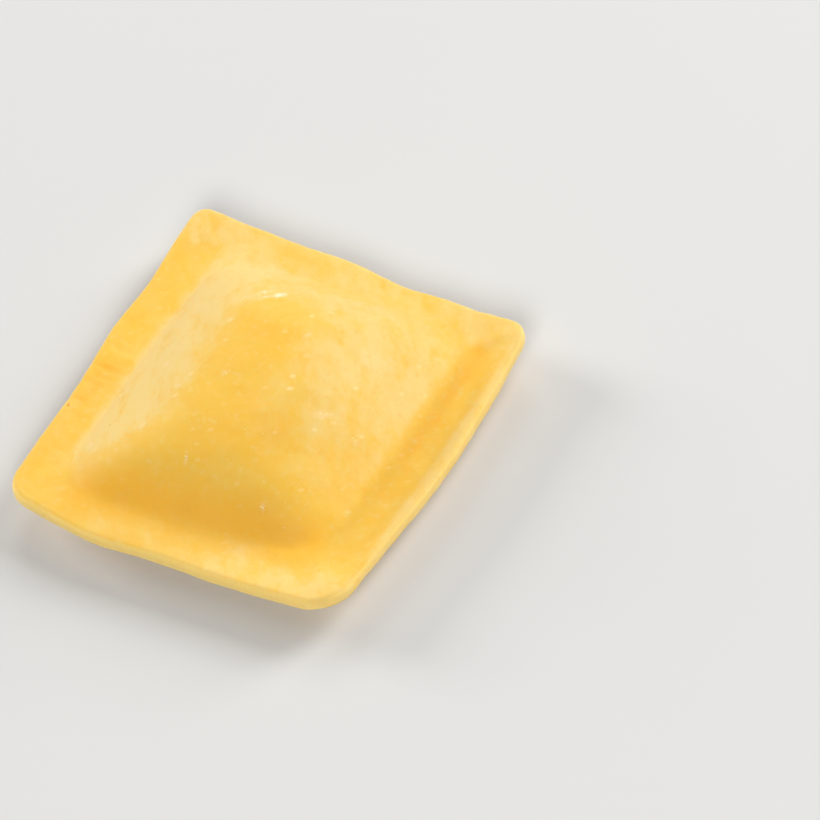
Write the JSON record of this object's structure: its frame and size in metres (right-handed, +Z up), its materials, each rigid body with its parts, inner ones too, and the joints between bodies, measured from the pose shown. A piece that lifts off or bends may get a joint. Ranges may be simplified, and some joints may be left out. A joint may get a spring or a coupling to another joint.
{
  "type": "ravioli",
  "caption": "Square raviolo of fresh egg pasta: a soft pillow of filling under the top sheet and a flat pressed rim with rounded corners.",
  "frame": {"origin": "on the surface it rests on, under the middle of its outline", "axes": "+Z up, +X along the front edge towards the right, and the front edge faces -Y"},
  "size_m": [0.0526, 0.0522, 0.014],
  "materials": {
    "egg_pasta": "matte, dusted with semolina"
  },
  "bodies": {
    "root": {"ravioli": "egg_pasta"}
  },
  "joints": []
}
